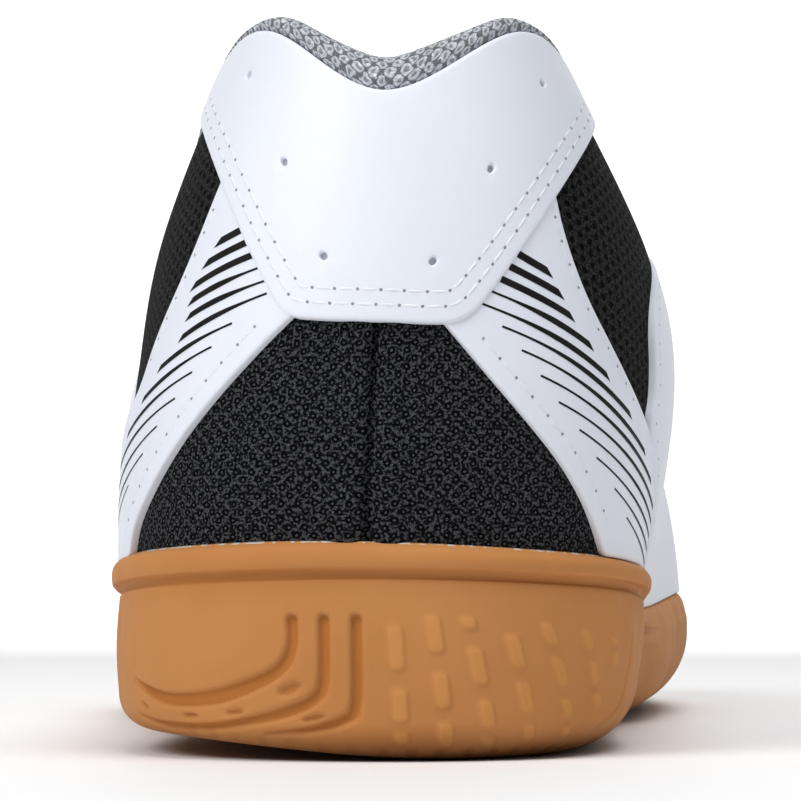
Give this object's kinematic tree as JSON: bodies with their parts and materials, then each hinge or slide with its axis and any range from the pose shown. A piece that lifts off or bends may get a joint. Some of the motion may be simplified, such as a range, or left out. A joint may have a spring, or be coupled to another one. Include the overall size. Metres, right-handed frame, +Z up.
{
  "type": "table tennis shoe",
  "caption": "Low table tennis shoe for the left foot: gum cup sole, hollow knitted upper with white overlays, padded collar, tongue and flat lace.",
  "frame": {"origin": "on the floor under the middle of the sole's box", "axes": "+Y from heel to toe, +X to the medial side, +Z up"},
  "size_m": [0.0938, 0.278, 0.0916],
  "materials": {
    "gum": "satin gum rubber",
    "footbed": "matt knitted cloth over foam",
    "knit": "matt knitted mesh",
    "lining": "matt ring mesh over foam",
    "tongue": "matt mesh over foam",
    "white": "satin synthetic leather",
    "lace": "flat woven lace"
  },
  "bodies": {
    "root": {"outsole": "gum", "insole": "footbed", "upper": "knit", "collar_cuff": "lining", "tongue": "tongue", "heel_panel": "white", "band_lateral": "white", "band_medial": "white", "saddle_lateral": "white", "saddle_medial": "white", "eyestay": "white", "toe_cap": "white", "lace_bar": "lace", "lace_cross_1": "lace", "lace_cross_2": "lace", "lace_cross_3": "lace", "lace_cross_4": "lace", "lace_cross_5": "lace"}
  },
  "joints": []
}
